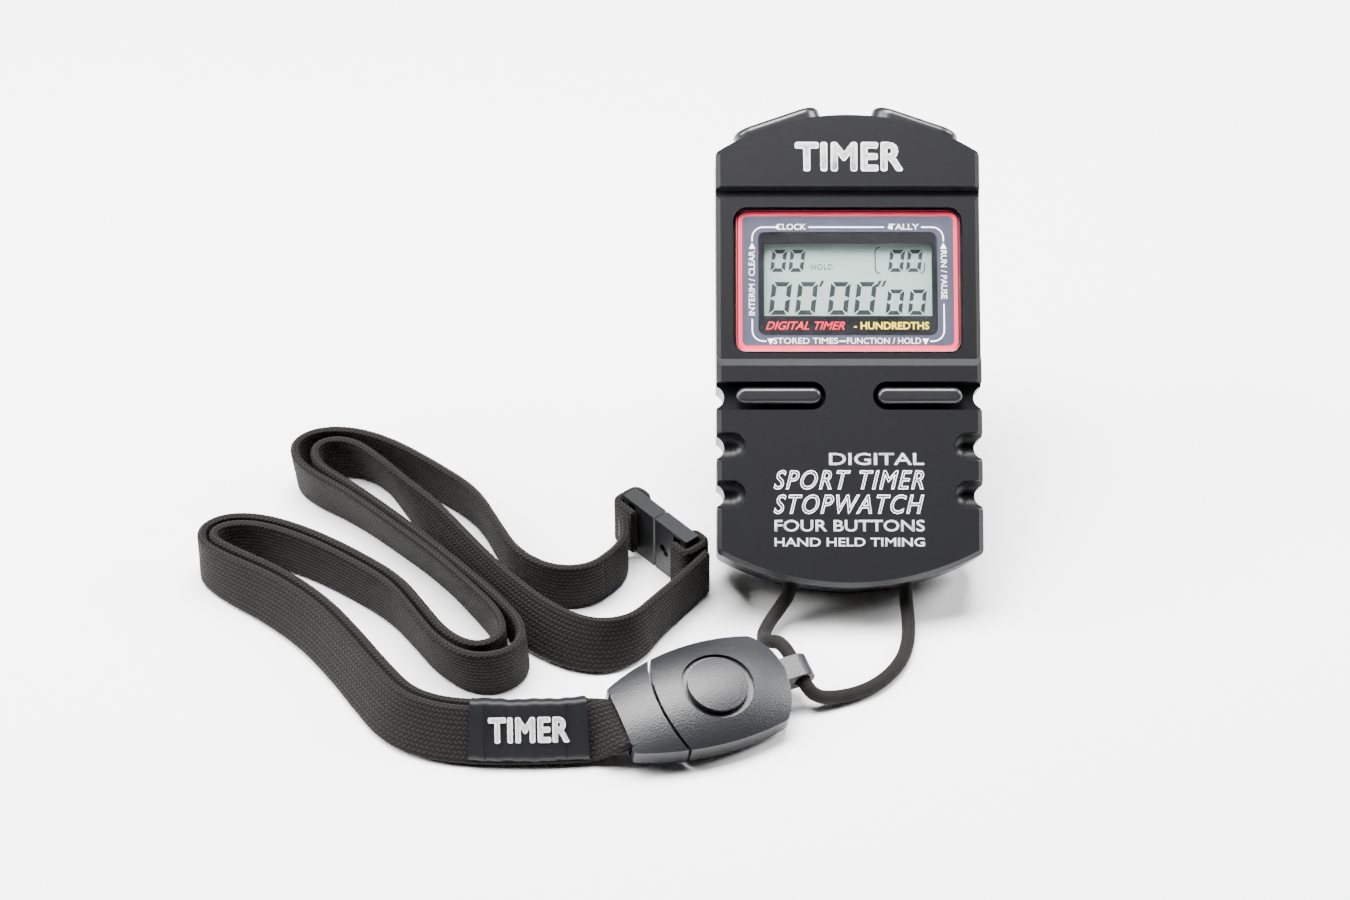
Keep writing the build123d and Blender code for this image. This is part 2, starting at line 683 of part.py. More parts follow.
for side, half in ((-1, "breakaway_plug"), (1, "breakaway_socket")):
    inner, outer = sorted((side * 0.1, side * CLIP_HALF))
    slot = sorted((side * 6.9, side * 9.3))
    with BuildPart() as clip_half:
        clip_block(0, CLIP_TALL, inner, outer, CLIP_THICK / 2)
        chamfer(clip_half.edges().filter_by(Axis.Z), 0.3)
        clip_block(0.8, CLIP_TALL - 0.8, *slot, CLIP_THICK, Mode.SUBTRACT)
        if side < 0:
            clip_block(3.2, CLIP_TALL - 3.2, -0.2, 5.0, 1.0)
        else:
            clip_block(3.1, CLIP_TALL - 3.1, 0, 5.2, 1.05, Mode.SUBTRACT)
            # A keyhole through the front, over the catch.
            face = Plane((0, 0, 0), x_dir=(1, 0, 0), z_dir=(0, -1, 0))
            with BuildSketch(Plane(CLIP.location * face.location)):
                with Locations((2.95, 7.75)):
                    Circle(1.1)
                with Locations((4.1, 6.7)):
                    Circle(0.85)
            extrude(amount=4, mode=Mode.SUBTRACT)
    finish(clip_half, half)

    fold_x = side * 10.4
    with BuildPart() as strap_fold:
        with BuildSketch(CLIP.offset(1.1)):
            with Locations((fold_x, 0)):
                RectangleRounded(6.3, 8.2, 1.9)
                Rectangle(2.3, 4.2, mode=Mode.SUBTRACT)
        extrude(amount=STRAP_WIDTH)
    finish(strap_fold, "strap_fold_plug" if side < 0 else "strap_fold_socket")

# Strap --------------------------------------------------------------------------------------------
# Two plies stand on edge, side by side, from the label round to the clip. Points are x, y.

OUTER_PLY = [
    (-60, -94.2),
    (-74, -95.1),
    (-89, -94.6),
    (-97.5, -92.6),
    (-104.5, -88.6),
    (-110.5, -80.4),
    (-117.5, -70),
    (-125.5, -59.6),
    (-136, -50.4),
    (-147, -43.6),
    (-153.2, -38),
    (-153.4, -32),
    (-147.5, -28),
    (-138, -28.8),
    (-126.5, -34.2),
    (-115, -42),
    (-105, -50.2),
    (-98.5, -59.6),
    (-92.5, -68.6),
    (-85.5, -72.8),
    (-79.8, -69),
    (-81, -61.4),
    (-88, -51.4),
    (-97, -40),
    (-108, -29),
    (-119.5, -18),
    (-131, -10),
    (-135, -2.4),
    (-130.8, 3.6),
    (-121.5, 4.8),
    (-110.5, 0.4),
    (-98.5, -9.2),
    (-88.5, -18.4),
    (-83, -30.4),
    (-78.2, -40.6),
    (-70, -46.8),
    (-61, -46.6),
    (-58.1, -43.64),
]
OUTER_PLY_END = [(-58.1, -43.64), (-54.32, -39.78), (-52.5, -34.4), (-53.4, -28.9)]
INNER_PLY = [
    (-60, -91.9),
    (-74, -92.8),
    (-89, -92.3),
    (-96.6, -90.5),
    (-102.7, -86.8),
    (-108.5, -78.9),
    (-115.5, -68.5),
    (-123.6, -57.9),
    (-134.4, -48.3),
    (-145.2, -41.4),
    (-150.4, -36.8),
    (-150.6, -33.4),
    (-146.6, -30.7),
    (-138.8, -31.3),
    (-127.7, -36.5),
    (-116.6, -44.1),
    (-107, -52),
    (-100.6, -61.4),
    (-94.6, -70.6),
    (-86.4, -76.4),
    (-77, -74.2),
    (-74.8, -66),
    (-81.2, -55.6),
    (-91.2, -43),
    (-103.6, -29.2),
    (-117.4, -16),
    (-127.4, -8.6),
    (-129.4, -3),
    (-126.2, 0.6),
    (-119.6, 0.4),
    (-112.6, -5.2),
    (-106.4, -14.2),
    (-98.8, -24.6),
    (-91.4, -36.4),
    (-82.4, -48.6),
    (-72.2, -60.2),
    (-60.4, -67),
    (-50.4, -65.2),
    (-44.6, -56.4),
    (-38.4, -48.4),
    (-33.4, -41.4),
]


def ply(points):
    """A flat braid standing on edge: its plan line thickened, then raised by the strap's width."""
    with BuildPart() as strap:
        corners = [Vector(x, y, 0) for x, y in points]
        with BuildSketch(FLOOR.offset(STRAP_LIFT)):
            with BuildLine() as line:
                FilletPolyline(*corners, radius=cord_radii(corners))
            trace(line_width=STRAP_THICKNESS)
        extrude(amount=STRAP_WIDTH)
    return strap, line.wire().length


outer_ply, outer_length = ply(OUTER_PLY)
finish(outer_ply, "strap_outer_ply")
outer_end, outer_end_length = ply(OUTER_PLY_END)
finish(outer_end, "strap_outer_ply_end")
inner_ply, inner_length = ply(INNER_PLY)
finish(inner_ply, "strap_inner_ply")
print("ply lengths", round(outer_length + outer_end_length, 1), round(inner_length, 1))

# The label is one woven piece folded over the top of both plies, and the sewn end turns flat into
# the buckle.
LABEL_TOP = STRAP_LIFT + STRAP_WIDTH + 0.1
with BuildPart() as strap_label:
    with BuildSketch(FLOOR):
        with BuildLine():
            FilletPolyline((-60.2, -93.06), (-74, -93.95), (-86.3, -93.55), radius=60)
        trace(line_width=5.4)
    extrude(amount=LABEL_TOP + 0.3)
    with BuildSketch(FLOOR):
        with BuildLine():
            FilletPolyline((-58.8, -92.97), (-74, -93.95), (-87.8, -93.5), radius=60)
        trace(line_width=4.8)
    extrude(amount=LABEL_TOP, mode=Mode.SUBTRACT)
finish(strap_label, "strap_label")

with BuildPart() as strap_sewn_end:
    with BuildSketch(Plane((-59.9, -93.05, 6.6 - FLOOR_DROP), x_dir=(0, 1, 0), z_dir=(1, 0, 0))):
        Rectangle(4.2, STRAP_WIDTH)
    with BuildSketch(on_buckle(-19.8, 0, -0.85, x_dir=(0, 0, 1), z_dir=(1, 0, 0))):
        Rectangle(3.4, STRAP_WIDTH)
    loft()
    with BuildSketch(on_buckle(-19.8, 0, -0.85, x_dir=(0, 0, 1), z_dir=(1, 0, 0))):
        Rectangle(3.4, STRAP_WIDTH)
    extrude(amount=5.0)
finish(strap_sewn_end, "strap_sewn_end")
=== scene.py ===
"""Looks of a digital hand stopwatch with a two-ply neck lanyard. Metres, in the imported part's frame."""

from math import cos, pi, radians, sin

import bpy
import numpy as np
from mathutils import Matrix, Vector


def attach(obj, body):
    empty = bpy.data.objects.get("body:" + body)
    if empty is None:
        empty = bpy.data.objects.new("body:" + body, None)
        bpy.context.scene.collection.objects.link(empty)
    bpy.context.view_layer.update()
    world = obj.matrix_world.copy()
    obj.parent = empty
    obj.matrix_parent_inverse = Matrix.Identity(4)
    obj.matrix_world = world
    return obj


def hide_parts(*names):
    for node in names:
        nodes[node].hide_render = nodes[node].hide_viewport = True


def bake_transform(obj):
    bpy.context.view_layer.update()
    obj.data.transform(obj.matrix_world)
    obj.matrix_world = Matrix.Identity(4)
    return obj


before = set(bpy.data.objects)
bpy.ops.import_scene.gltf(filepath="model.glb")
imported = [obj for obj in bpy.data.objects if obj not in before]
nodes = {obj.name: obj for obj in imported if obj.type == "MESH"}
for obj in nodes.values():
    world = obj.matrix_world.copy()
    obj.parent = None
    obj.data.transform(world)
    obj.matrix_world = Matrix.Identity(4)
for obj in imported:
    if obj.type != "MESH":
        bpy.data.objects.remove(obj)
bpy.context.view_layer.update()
MM = 0.001

# Frames shared with the solid parts ---------------------------------------------------------------

LEAN = radians(47)
CASE = Matrix(
    ((1, 0, 0, 0), (0, sin(LEAN), -cos(LEAN), 0), (0, cos(LEAN), sin(LEAN), 0), (0, 0, 0, 1))
)
FLOOR_Z = -37.1
BRAID_WIDTH, BRAID_THICK = 13.0, 2.0
FLOOR_CLEARANCE = 0.12
LABEL_LEAN = radians(36)
BUCKLE_YAW, BUCKLE_TILT = radians(23), radians(15)
BUCKLE = Matrix(
    (
        (cos(BUCKLE_YAW), -sin(BUCKLE_YAW) * cos(BUCKLE_TILT), sin(BUCKLE_YAW) * sin(BUCKLE_TILT), -34.6),
        (sin(BUCKLE_YAW), cos(BUCKLE_YAW) * cos(BUCKLE_TILT), -cos(BUCKLE_YAW) * sin(BUCKLE_TILT), -85.4),
        (0, sin(BUCKLE_TILT), cos(BUCKLE_TILT), 8.4 + FLOOR_Z),
        (0, 0, 0, 1),
    )
)
CLIP_X = Vector((0.66, -0.751, 0)).normalized()
CLIP = Matrix(
    (
        (CLIP_X.x, -CLIP_X.y, 0, -44.2),
        (CLIP_X.y, CLIP_X.x, 0, -31.2),
        (0, 0, 1, 0.1 + FLOOR_Z),
        (0, 0, 0, 1),
    )
)


def place(matrix, points):
    """Points in a local frame, in mm, to the shared frame in metres."""
    m = np.array(matrix, float)
    return (np.asarray(points, float) @ m[:3, :3].T + m[:3, 3]) * MM


# Materials ----------------------------------------------------------------------------------------

# Yarn columns round the flat braid and the round cord, one float's length, in mm, and its lean.
COLUMN, PITCH = 1.06, 1.15
CORD_COLUMN, CORD_PITCH = 0.55, 0.64
SLANT = 0.9


def material(name, color, roughness=0.5, metallic=0.0, specular=0.5, coat=0.0, sheen=0.0):
    mat = bpy.data.materials.new(name)
    mat.use_nodes = True
    shader = mat.node_tree.nodes["Principled BSDF"]
    shader.inputs["Base Color"].default_value = (*color, 1)
    shader.inputs["Roughness"].default_value = roughness
    shader.inputs["Metallic"].default_value = metallic
    shader.inputs["Specular IOR Level"].default_value = specular
    shader.inputs["Coat Weight"].default_value = coat
    shader.inputs["Coat Roughness"].default_value = 0.1
    shader.inputs["Sheen Weight"].default_value = sheen
    return mat


def shader_of(mat):
    return mat.node_tree.nodes["Principled BSDF"]


def add_grain(mat, grain_mm, depth_mm, strength=0.6, detail=2.0):
    """A moulded surface's fine spark texture."""
    tree = mat.node_tree
    coords = tree.nodes.new("ShaderNodeTexCoord")
    noise = tree.nodes.new("ShaderNodeTexNoise")
    noise.inputs["Scale"].default_value = 1 / (grain_mm * MM)
    noise.inputs["Detail"].default_value = detail
    bump = tree.nodes.new("ShaderNodeBump")
    bump.inputs["Strength"].default_value = strength
    bump.inputs["Distance"].default_value = depth_mm * MM
    tree.links.new(coords.outputs["Object"], noise.inputs["Vector"])
    tree.links.new(noise.outputs["Fac"], bump.inputs["Height"])
    tree.links.new(bump.outputs["Normal"], shader_of(mat).inputs["Normal"])
    return mat


def math_node(tree, operation, *values):
    node = tree.nodes.new("ShaderNodeMath")
    node.operation = operation
    for i, value in enumerate(values):
        if isinstance(value, (int, float)):
            node.inputs[i].default_value = value
        else:
            tree.links.new(value, node.inputs[i])
    return node.outputs[0]


def braid(name, shaded_gap_color, light, column, pitch, depth_mm=0.12, roughness=0.75, sheen=0.03):
    """Yarn floats in columns, leaning one way and the other by turns, with painted shade in the gaps between
    floats and a painted highlight on their crowns. UVs are in mm: round, along.
    """
    mat = material(name, light, roughness, specular=0.12, sheen=sheen)
    tree = mat.node_tree
    shader = shader_of(mat)
    shader.inputs["Sheen Roughness"].default_value = 0.4
    uv = tree.nodes.new("ShaderNodeUVMap")
    uv.uv_map = "weave"
    parts = tree.nodes.new("ShaderNodeSeparateXYZ")
    tree.links.new(uv.outputs["UV"], parts.inputs[0])
    across = math_node(tree, "DIVIDE", parts.outputs["X"], column)
    cell = math_node(tree, "FLOOR", across)
    x = math_node(tree, "SUBTRACT", math_node(tree, "SUBTRACT", across, cell), 0.5)
    odd = math_node(tree, "MODULO", cell, 2.0)
    side = math_node(tree, "SUBTRACT", math_node(tree, "MULTIPLY", odd, 2.0), 1.0)
    leaning = math_node(tree, "MULTIPLY", math_node(tree, "MULTIPLY", side, x), SLANT)
    along = math_node(tree, "DIVIDE", parts.outputs["Y"], pitch)
    shifted = math_node(tree, "ADD", leaning, math_node(tree, "MULTIPLY", odd, 0.5))
    phase = math_node(tree, "ADD", along, shifted)
    swell = math_node(tree, "ABSOLUTE", math_node(tree, "COSINE", math_node(tree, "MULTIPLY", phase, pi)))
    swell = math_node(tree, "POWER", swell, 1.1)
    off_centre = math_node(tree, "ABSOLUTE", math_node(tree, "MULTIPLY", x, 2.0))
    crown = math_node(tree, "SUBTRACT", 1.0, math_node(tree, "POWER", off_centre, 2.5))
    height = math_node(tree, "MULTIPLY", swell, crown)
    # Fine filaments run along each float, in the relief and in the painted shade and highlight.
    fibre = tree.nodes.new("ShaderNodeTexNoise")
    fibre.inputs["Scale"].default_value = 1.0
    fibre.inputs["Detail"].default_value = 1.0
    fine = tree.nodes.new("ShaderNodeCombineXYZ")
    tree.links.new(math_node(tree, "MULTIPLY", parts.outputs["X"], 9.0), fine.inputs[0])
    tree.links.new(math_node(tree, "MULTIPLY", parts.outputs["Y"], 2.2), fine.inputs[1])
    tree.links.new(fine.outputs[0], fibre.inputs["Vector"])
    filaments = math_node(tree, "ADD", math_node(tree, "MULTIPLY", fibre.outputs["Fac"], 0.6), 0.7)
    height = math_node(tree, "MULTIPLY", height, filaments)
    # Painted shade and highlight: the base colour goes from the near-black gap colour to the light crown
    # colour with each float's height.
    painted_light_ramp = tree.nodes.new("ShaderNodeMix")
    painted_light_ramp.data_type = "RGBA"
    tree.links.new(height, painted_light_ramp.inputs["Factor"])
    painted_light_ramp.inputs["A"].default_value = (*shaded_gap_color, 1)
    painted_light_ramp.inputs["B"].default_value = (*light, 1)
    tree.links.new(painted_light_ramp.outputs["Result"], shader.inputs["Base Color"])
    bump = tree.nodes.new("ShaderNodeBump")
    bump.inputs["Strength"].default_value = 0.9
    bump.inputs["Distance"].default_value = depth_mm * MM
    tree.links.new(height, bump.inputs["Height"])
    tree.links.new(bump.outputs["Normal"], shader.inputs["Normal"])
    return mat


def clear(name, tint, roughness=0.02):
    """Clear moulded acrylic that lets the lamps reach what lies under it."""
    mat = material(name, tint, roughness)
    shader = shader_of(mat)
    shader.inputs["Transmission Weight"].default_value = 1.0
    shader.inputs["IOR"].default_value = 1.49
    tree = mat.node_tree
    path = tree.nodes.new("ShaderNodeLightPath")
    open_way = tree.nodes.new("ShaderNodeBsdfTransparent")
    mix = tree.nodes.new("ShaderNodeMixShader")
    tree.links.new(path.outputs["Is Shadow Ray"], mix.inputs[0])
    tree.links.new(shader.outputs[0], mix.inputs[1])
    tree.links.new(open_way.outputs[0], mix.inputs[2])
    tree.links.new(mix.outputs[0], tree.nodes["Material Output"].inputs["Surface"])
    return mat


abs_black = add_grain(material("case_abs", (0.0065, 0.0065, 0.0075), 0.36, specular=0.25), 0.3, 0.05, 0.55)
button_plastic = add_grain(
    material("button_plastic", (0.011, 0.011, 0.012), 0.3, specular=0.45), 0.4, 0.03, 0.3
)
acetal = add_grain(material("buckle_acetal", (0.007, 0.007, 0.0085), 0.36, specular=0.4), 0.34, 0.1, 0.8, 2.0)
clip_plastic = add_grain(material("clip_plastic", (0.009, 0.009, 0.01), 0.36, specular=0.35), 0.5, 0.04, 0.4)
inner_black = material("plain_black", (0.012, 0.012, 0.012), 0.5)
rubber = material("rubber", (0.012, 0.012, 0.012), 0.7)
zinc = material("bright_zinc", (0.62, 0.62, 0.6), 0.28, metallic=1.0)
spring_wire = material("spring_wire", (0.55, 0.55, 0.55), 0.25, metallic=1.0)
brass = material("brass", (0.7, 0.5, 0.2), 0.3, metallic=1.0)
board = material("solder_mask", (0.01, 0.09, 0.03), 0.3, coat=0.5)
epoxy = material("epoxy", (0.008, 0.008, 0.009), 0.2)
ceramic = material("ceramic", (0.35, 0.24, 0.13), 0.45)
zebra = material("zebra_rubber", (0.45, 0.4, 0.32), 0.6)
lens_clear = clear("lens_acrylic", (0.96, 0.97, 0.98))
mask_field = material("mask_blue_grey", (0.03, 0.032, 0.05), 0.35)
mask_red = material("mask_red", (0.52, 0.012, 0.05), 0.35)
mask_black = material("mask_black", (0.006, 0.006, 0.008), 0.3)
print_white = material("print_white", (0.95, 0.95, 0.95), 0.6)
print_red = material("print_red", (0.6, 0.012, 0.035), 0.45)
print_yellow = material("print_yellow", (0.8, 0.66, 0.03), 0.45)
lcd_face = material("lcd_face", (0.17, 0.225, 0.2), 0.3)
lcd_ink = material("lcd_ink", (0.006, 0.009, 0.01), 0.35)
satin = add_grain(
    material("label_satin", (0.004, 0.004, 0.005), 0.5, specular=0.2, sheen=0.02), 0.25, 0.05, 0.5
)
thread = material("sewing_thread", (0.003, 0.003, 0.0035), 0.7, specular=0.15)
# In both braids the first colour is painted shade between the floats and the second is a painted highlight on
# their crowns.
strap_braid = braid("strap_braid", (0.0008, 0.0008, 0.0007), (0.0125, 0.0112, 0.0098), COLUMN, PITCH)
cord_braid = braid(
    "cord_braid", (0.001, 0.001, 0.0009), (0.015, 0.0138, 0.012), CORD_COLUMN, CORD_PITCH, depth_mm=0.06
)

PAINT = {
    abs_black: ["front_case", "rear_cover"],
    button_plastic: ["start_stop_button", "lap_reset_button", "recall_button", "mode_button"],
    acetal: ["buckle_body", "buckle_base", "buckle_strap_half", "release_button"],
    clip_plastic: ["breakaway_plug", "breakaway_socket"],
    inner_black: ["lcd_holder", "top_switches", "face_switches"],
    rubber: ["case_gasket", "lens_gasket", "start_stop_seal", "lap_reset_seal"],
    zinc: [
        "case_screws", "board_screws", "battery_cell", "cord_crimps", "quartz_crystal",
        "start_stop_clip", "lap_reset_clip", "recall_clip", "mode_clip",
    ],
    spring_wire: [
        "battery_contacts", "start_stop_spring", "lap_reset_spring", "recall_spring",
        "mode_spring", "release_spring",
    ],
    brass: ["buzzer_disc"],
    board: ["circuit_board"],
    epoxy: ["chip_cover"],
    ceramic: ["capacitors"],
    zebra: ["zebra_strips"],
    lens_clear: ["lens"],
    mask_black: ["display_mask"],
    lcd_face: ["lcd_panel"],
}
for mat, names in PAINT.items():
    for name in names:
        nodes[name].data.materials.clear()
        nodes[name].data.materials.append(mat)

# Printed and flat shapes --------------------------------------------------------------------------


def add_mesh(name, verts, faces, mat, body, smooth=False):
    mesh = bpy.data.meshes.new(name)
    mesh.from_pydata([tuple(v) for v in verts], [], faces)
    mesh.update()
    if smooth:
        mesh.polygons.foreach_set("use_smooth", [True] * len(mesh.polygons))
    mesh.materials.append(mat)
    piece = bpy.data.objects.new(name, mesh)
    bpy.context.scene.collection.objects.link(piece)
    if body:
        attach(piece, body)
    return piece


def prisms(name, shapes, low, high, mat, body="case", matrix=CASE):
    """Closed flat shapes, each a convex outline in mm, between two heights of a local frame."""
    verts, faces = [], []
    for shape in shapes:
        start, n = len(verts), len(shape)
        verts += [(x, y, z) for z in (low, high) for x, y in shape]
        faces.append(tuple(range(start + n - 1, start - 1, -1)))
        faces.append(tuple(range(start + n, start + 2 * n)))
        faces += [
            (start + i, start + (i + 1) % n, start + n + (i + 1) % n, start + n + i)
            for i in range(n)
        ]
    return add_mesh(name, place(matrix, verts), faces, mat, body)


def round_loop(width, height, radius, centre, steps=8):
    """Points of a rounded rectangle, anticlockwise, in mm."""
    points = []
    for i, (sx, sy) in enumerate(((1, -1), (1, 1), (-1, 1), (-1, -1))):
        cx, cy = centre[0] + sx * (width / 2 - radius), centre[1] + sy * (height / 2 - radius)
        for k in range(steps + 1):
            a = radians(-90 + 90 * i + 90 * k / steps)
            points.append((cx + radius * cos(a), cy + radius * sin(a)))
    return points


def band(points, width, closed):
    """A line of constant width as quads, each a convex outline."""
    pts = np.array(points, float)
    after = np.roll(pts, -1, 0)
    before = np.roll(pts, 1, 0)
    if not closed:
        after[-1], before[0] = pts[-1], pts[0]
    t = after - before
    t /= np.linalg.norm(t, axis=1)[:, None]
    n = np.stack((-t[:, 1], t[:, 0]), 1) * width / 2
    left, right = pts + n, pts - n
    count = len(pts) if closed else len(pts) - 1
    return [
        [tuple(right[i]), tuple(right[(i + 1) % len(pts)]), tuple(left[(i + 1) % len(pts)]), tuple(left[i])]
        for i in range(count)
    ]


def frame_prism(name, outer, inner, low, high, mat):
    """A flat ring between two loops that have the same number of points."""
    n = len(outer)
    verts = [(x, y, z) for z in (low, high) for loop in (outer, inner) for x, y in loop]
    faces = []
    for i in range(n):
        j = (i + 1) % n
        faces += [
            (n + i, n + j, j, i),
            (2 * n + i, 2 * n + j, 3 * n + j, 3 * n + i),
            (i, j, 2 * n + j, 2 * n + i),
            (3 * n + i, 3 * n + j, n + j, n + i),
        ]
    return add_mesh(name, place(CASE, verts), faces, mat, "case")


def lettering(name, text, size, at, low, high, mat, body="case", matrix=CASE,
              turn=0.0, width=1.0, slant=0.0, bold=0.0, outline=0.0, align="CENTER", spacing=1.0,
              span=0.0):
    """Raised lettering of one line, in mm, bold mm fatter, and stretched to a span when one is given."""
    curve = bpy.data.curves.new(name, "FONT")
    curve.body = text
    curve.size = 1.0
    curve.space_character = spacing
    curve.shear = slant
    curve.align_x = align
    curve.align_y = "CENTER"
    curve.resolution_u = 4
    if outline:
        curve.fill_mode = "NONE"
        curve.bevel_depth = outline
        curve.bevel_resolution = 0
    else:
        curve.extrude = 0.5
    source = bpy.data.objects.new(name + "_source", curve)
    bpy.context.scene.collection.objects.link(source)
    bpy.context.view_layer.update()
    mesh = bpy.data.meshes.new_from_object(source.evaluated_get(bpy.context.evaluated_depsgraph_get()))
    bpy.data.objects.remove(source)
    co = np.array([v.co for v in mesh.vertices], float).reshape(-1, 3)
    depth = outline if outline else 0.5
    flat = co[:, :2] * size * np.array((width, 1.0))
    if span:
        left, right = flat[:, 0].min(), flat[:, 0].max()
        anchor = right if align == "RIGHT" else (left + right) / 2
        flat[:, 0] = (flat[:, 0] - anchor) * span / (right - left)
    shifts = [(0.0, 0.0)]
    if bold:
        shifts = [(bold / 2 * cos(k * pi / 4), bold / 2 * sin(k * pi / 4)) for k in range(8)]
    polygons = [tuple(p.vertices) for p in mesh.polygons]
    faces = [tuple(v + len(co) * k for v in p) for k in range(len(shifts)) for p in polygons]
    flat = np.concatenate([flat + np.array(shift) for shift in shifts])
    co = np.concatenate([co] * len(shifts))
    bpy.data.meshes.remove(mesh)
    c, s = cos(turn), sin(turn)
    turned = np.stack((flat[:, 0] * c - flat[:, 1] * s, flat[:, 0] * s + flat[:, 1] * c), 1)
    z = low + (co[:, 2] + depth) / (2 * depth) * (high - low)
    points = np.column_stack((turned + np.array(at), z))
    return add_mesh(name, place(matrix, points), faces, mat, body)


# Window: red border, black mask and white line on the printed film, digits on the glass ------------

FILM, INK = 15.8, 0.03
WINDOW = (0, 16.75)
MASK = (0, 16.1)
frame_prism(
    "window_red_border",
    round_loop(51.8, 32.9, 2.0, WINDOW), round_loop(49.9, 31.0, 1.3, WINDOW),
    FILM - 0.01, FILM + INK, mask_red,
)
frame_prism(
    "window_blue_field",
    round_loop(49.9, 31.0, 1.3, WINDOW), round_loop(42.3, 24.8, 1.8, MASK),
    FILM - 0.01, FILM + INK, mask_field,
)

# The white line runs round the mask, broken by its legends.
TOP_Y, FOOT_Y, SIDE_X, CORNER, LINE = 29.6, 2.3, 22.6, 2.6, 0.3
lines = []
for sx in (-1, 1):
    for y, sy in ((TOP_Y, 1), (FOOT_Y, -1)):
        arc = [
            (
                sx * (SIDE_X - CORNER + CORNER * sin(radians(a))),
                y - sy * CORNER * (1 - cos(radians(a))),
            )
            for a in range(0, 91, 15)
        ]
        lines += band(arc, LINE, False)
LEVEL_RUNS = [
    (TOP_Y, (-20.0, -17.2)), (TOP_Y, (-9.2, 8.6)), (TOP_Y, (17.4, 20.0)),
    (FOOT_Y, (-20.0, -19.3)), (FOOT_Y, (-2.2, -0.6)), (FOOT_Y, (19.3, 20.0)),
]
UPRIGHT_RUNS = [(-SIDE_X, (4.9, 7.6)), (-SIDE_X, (26.2, 27.0)), (SIDE_X, (4.9, 11.2)), (SIDE_X, (26.2, 27.0))]
for y, (a, b) in LEVEL_RUNS:
    lines += band([(a, y), (b, y)], LINE, False)
for x, (a, b) in UPRIGHT_RUNS:
    lines += band([(x, a), (x, b)], LINE, False)
prisms("window_white_line", lines, FILM + INK, FILM + 2 * INK, print_white)


def arrow(x, y, turn):
    """A small solid triangle that points up before it is turned."""
    c, s = cos(turn), sin(turn)
    return [(x + px * c - py * s, y + px * s + py * c) for px, py in ((-0.75, -0.6), (0.75, -0.6), (0, 0.85))]


def dot(x, y, radius=0.45):
    return [(x + radius * cos(i * pi / 6), y + radius * sin(i * pi / 6)) for i in range(12)]


marks = [
    dot(-16.6, TOP_Y), dot(10.0, TOP_Y), arrow(-18.3, FOOT_Y, pi), arrow(18.2, FOOT_Y, pi),
    arrow(-SIDE_X, 25.0, 0), arrow(SIDE_X, 25.0, 0),
]
prisms("window_marks", marks, FILM + INK, FILM + 2 * INK, print_white)
LEGENDS = [
    ("legend_top_left", "CLOCK", (-13.4, TOP_Y), 0.0, 7.0),
    ("legend_top_right", "TALLY", (13.3, TOP_Y), 0.0, 7.0),
    ("legend_foot_left", "STORED TIMES", (-10.05, FOOT_Y), 0.0, 15.2),
    ("legend_foot_right", "FUNCTION / HOLD", (8.4, FOOT_Y), 0.0, 17.4),
    ("legend_left", "INTERIM / CLEAR", (-SIDE_X, 16.2), pi / 2, 15.4),
    ("legend_right", "RUN / PAUSE", (SIDE_X, 18.2), -pi / 2, 11.6),
]
for name, text, at, turn, span in LEGENDS:
    lettering(name, text, 2.0, at, FILM + INK, FILM + 2 * INK, print_white, turn=turn, span=span, bold=0.05)
lettering(
    "legend_red", "DIGITAL TIMER", 2.75, (-10.1, 5.9), FILM, FILM + INK, print_red,
    slant=0.35, span=18.6, bold=0.1,
)
lettering(
    "legend_yellow", "- HUNDREDTHS", 2.45, (10.2, 5.9), FILM, FILM + INK, print_yellow, span=17.6, bold=0.08,
)


def digit(x, y, width, height, stroke, slant=0.12):
    """One seven-segment nought, its low left corner at x, y, as six bevelled bars."""
    h2, gap, s = height / 2, stroke * 0.12, stroke
    bars = []

    def bar(points):
        bars.append([(x + px + slant * py, y + py) for px, py in points])

    w, h = width, height
    bar([(gap + 0.3 * s, h), (s + gap, h - s), (w - s - gap, h - s), (w - gap - 0.3 * s, h)])
    bar([(gap + 0.3 * s, 0), (w - gap - 0.3 * s, 0), (w - s - gap, s), (s + gap, s)])
    for low, high in ((0, h2), (h2, h)):
        foot = 0.3 * s if low == 0 else gap
        head = h - 0.3 * s if high == h else h2 - gap
        foot_in = low + (s + gap if low == 0 else gap + 0.45 * s)
        head_in = high - (s + gap if high == h else gap + 0.45 * s)
        bar([(0, low + foot if low else foot), (s, foot_in), (s, head_in), (0, head)])
        bar([(w, low + foot if low else foot), (w, head), (w - s, head_in), (w - s, foot_in)])
    return bars


LCD_TOP, LCD_INK = 13.9, 0.03
segments = []
# Each nought's low left corner, size and stroke.
for x, y, w, h, stroke in (
    (-18.3, 19.2, 3.5, 5.3, 0.9),
    (-14.0, 19.2, 3.5, 5.3, 0.9),
    (9.6, 19.2, 3.5, 5.3, 0.9),
    (13.8, 19.2, 3.5, 5.3, 0.9),
    (-18.7, 8.9, 4.7, 7.9, 1.12),
    (-12.5, 8.9, 4.7, 7.9, 1.12),
    (-4.8, 8.9, 4.7, 7.9, 1.12),
    (1.4, 8.9, 4.7, 7.9, 1.12),
    (8.9, 8.9, 3.9, 6.1, 0.95),
    (14.2, 8.9, 3.9, 6.1, 0.95),
):
    segments += digit(x, y, w, h, stroke)
for x in (-6.3, 7.3, 8.5):
    segments.append([(x - 0.5, 15.6), (x + 0.05, 15.6), (x + 0.85, 17.1), (x + 0.15, 17.1)])
BRACKET = [(7.7, 25.2), (6.9, 24.8), (6.6, 24.2), (6.6, 19.8), (6.9, 19.2), (7.7, 18.8)]
segments += band(BRACKET, 0.26, False)
segments += band([(18.3, 21.4), (18.3, 19.8), (18.0, 19.2), (17.4, 18.9)], 0.26, False)
prisms("lcd_digits", segments, LCD_TOP, LCD_TOP + LCD_INK, lcd_ink)
